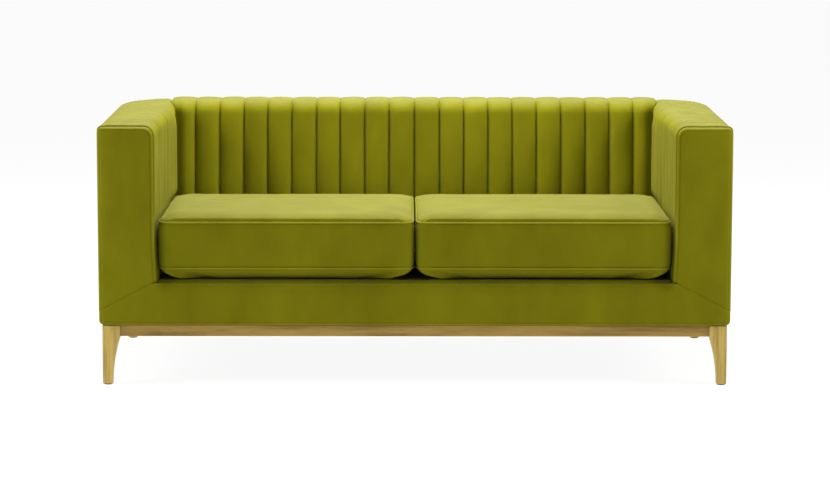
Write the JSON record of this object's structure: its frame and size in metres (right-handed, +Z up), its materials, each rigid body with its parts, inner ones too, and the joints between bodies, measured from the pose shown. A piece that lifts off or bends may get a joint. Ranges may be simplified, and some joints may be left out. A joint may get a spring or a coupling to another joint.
{
  "type": "sofa",
  "caption": "Low velvet sofa with channel-stitched back and arms, loose piped seat cushions and a solid oak base with tapered legs.",
  "frame": {"origin": "on the floor, under the middle of the sofa's width and depth", "axes": "+Z up, front towards -Y, +X towards the right-hand arm as seen from the front"},
  "size_m": [1.746, 0.82, 0.73],
  "materials": {
    "oak": "clear satin lacquer over light oak",
    "timber": "planed, unfinished",
    "plywood": "unfinished",
    "velvet": "short-pile olive green velvet",
    "deck_cloth": "plain weave, dyed to match",
    "dust_cloth": "non-woven, matt",
    "foam": "open-cell upholstery foam",
    "webbing": "woven elastic",
    "zip_tape": "woven tape with a nylon coil",
    "steel": "zinc plated",
    "spring_wire": "oiled spring wire",
    "brass": "plated slider",
    "nylon": "moulded"
  },
  "bodies": {
    "sofa_frame": {"leg_front_left": "oak", "leg_front_right": "oak", "leg_rear_left": "oak", "leg_rear_right": "oak", "base_rail_front": "oak", "base_rail_rear": "oak", "base_rail_left": "oak", "base_rail_right": "oak", "base_dowels": "oak", "corner_blocks": "oak", "leg_bolts": "steel", "leg_nuts": "steel", "base_bolts": "steel", "spring_clips": "steel", "foot_glides": "nylon", "dust_cover": "dust_cloth", "seat_rail_front": "timber", "seat_rail_rear": "timber", "seat_centre_brace": "timber", "seat_side_rail_left": "timber", "seat_side_rail_right": "timber", "arm_bottom_rail_left": "timber", "arm_bottom_rail_right": "timber", "back_bottom_rail": "timber", "back_top_rail": "timber", "back_tack_rail": "timber", "wave_springs": "spring_wire", "deck_foam": "foam", "back_foam": "foam", "front_border_foam": "foam", "arm_foam_left": "foam", "arm_foam_right": "foam", "deck_cloth": "deck_cloth", "back_ribs": "plywood", "arm_front_board_left": "plywood", "arm_front_board_right": "plywood", "arm_rear_board_left": "plywood", "arm_rear_board_right": "plywood", "arm_top_board_left": "plywood", "arm_top_board_right": "plywood", "arm_inner_panel_left": "plywood", "arm_inner_panel_right": "plywood", "back_straps": "webbing", "back_channel_cover": "velvet", "outer_back_cover": "velvet", "front_border_cover": "velvet", "arm_channel_cover_left": "velvet", "arm_channel_cover_right": "velvet", "arm_front_cover_left": "velvet", "arm_front_cover_right": "velvet", "outer_arm_cover_left": "velvet", "outer_arm_cover_right": "velvet"},
    "cushion_left": {"cushion_cover_left": "velvet", "cushion_foam_left": "foam", "cushion_zip_left": "zip_tape"},
    "cushion_right": {"cushion_cover_right": "velvet", "cushion_foam_right": "foam", "cushion_zip_right": "zip_tape"},
    "zip_slider_left": {"zip_slider_left": "brass"},
    "zip_slider_right": {"zip_slider_right": "brass"}
  },
  "joints": [
    {"name": "cushion_left_lift", "type": "slide", "parent": "sofa_frame", "child": "cushion_left", "axis": [0, 0, 1], "range_m": [0, 0.45]},
    {"name": "zip_left_open", "type": "slide", "parent": "cushion_left", "child": "zip_slider_left", "axis": [-1, 0, 0], "range_m": [0, 0.54]},
    {"name": "cushion_right_lift", "type": "slide", "parent": "sofa_frame", "child": "cushion_right", "axis": [0, 0, 1], "range_m": [0, 0.45]},
    {"name": "zip_right_open", "type": "slide", "parent": "cushion_right", "child": "zip_slider_right", "axis": [1, 0, 0], "range_m": [0, 0.54]}
  ]
}
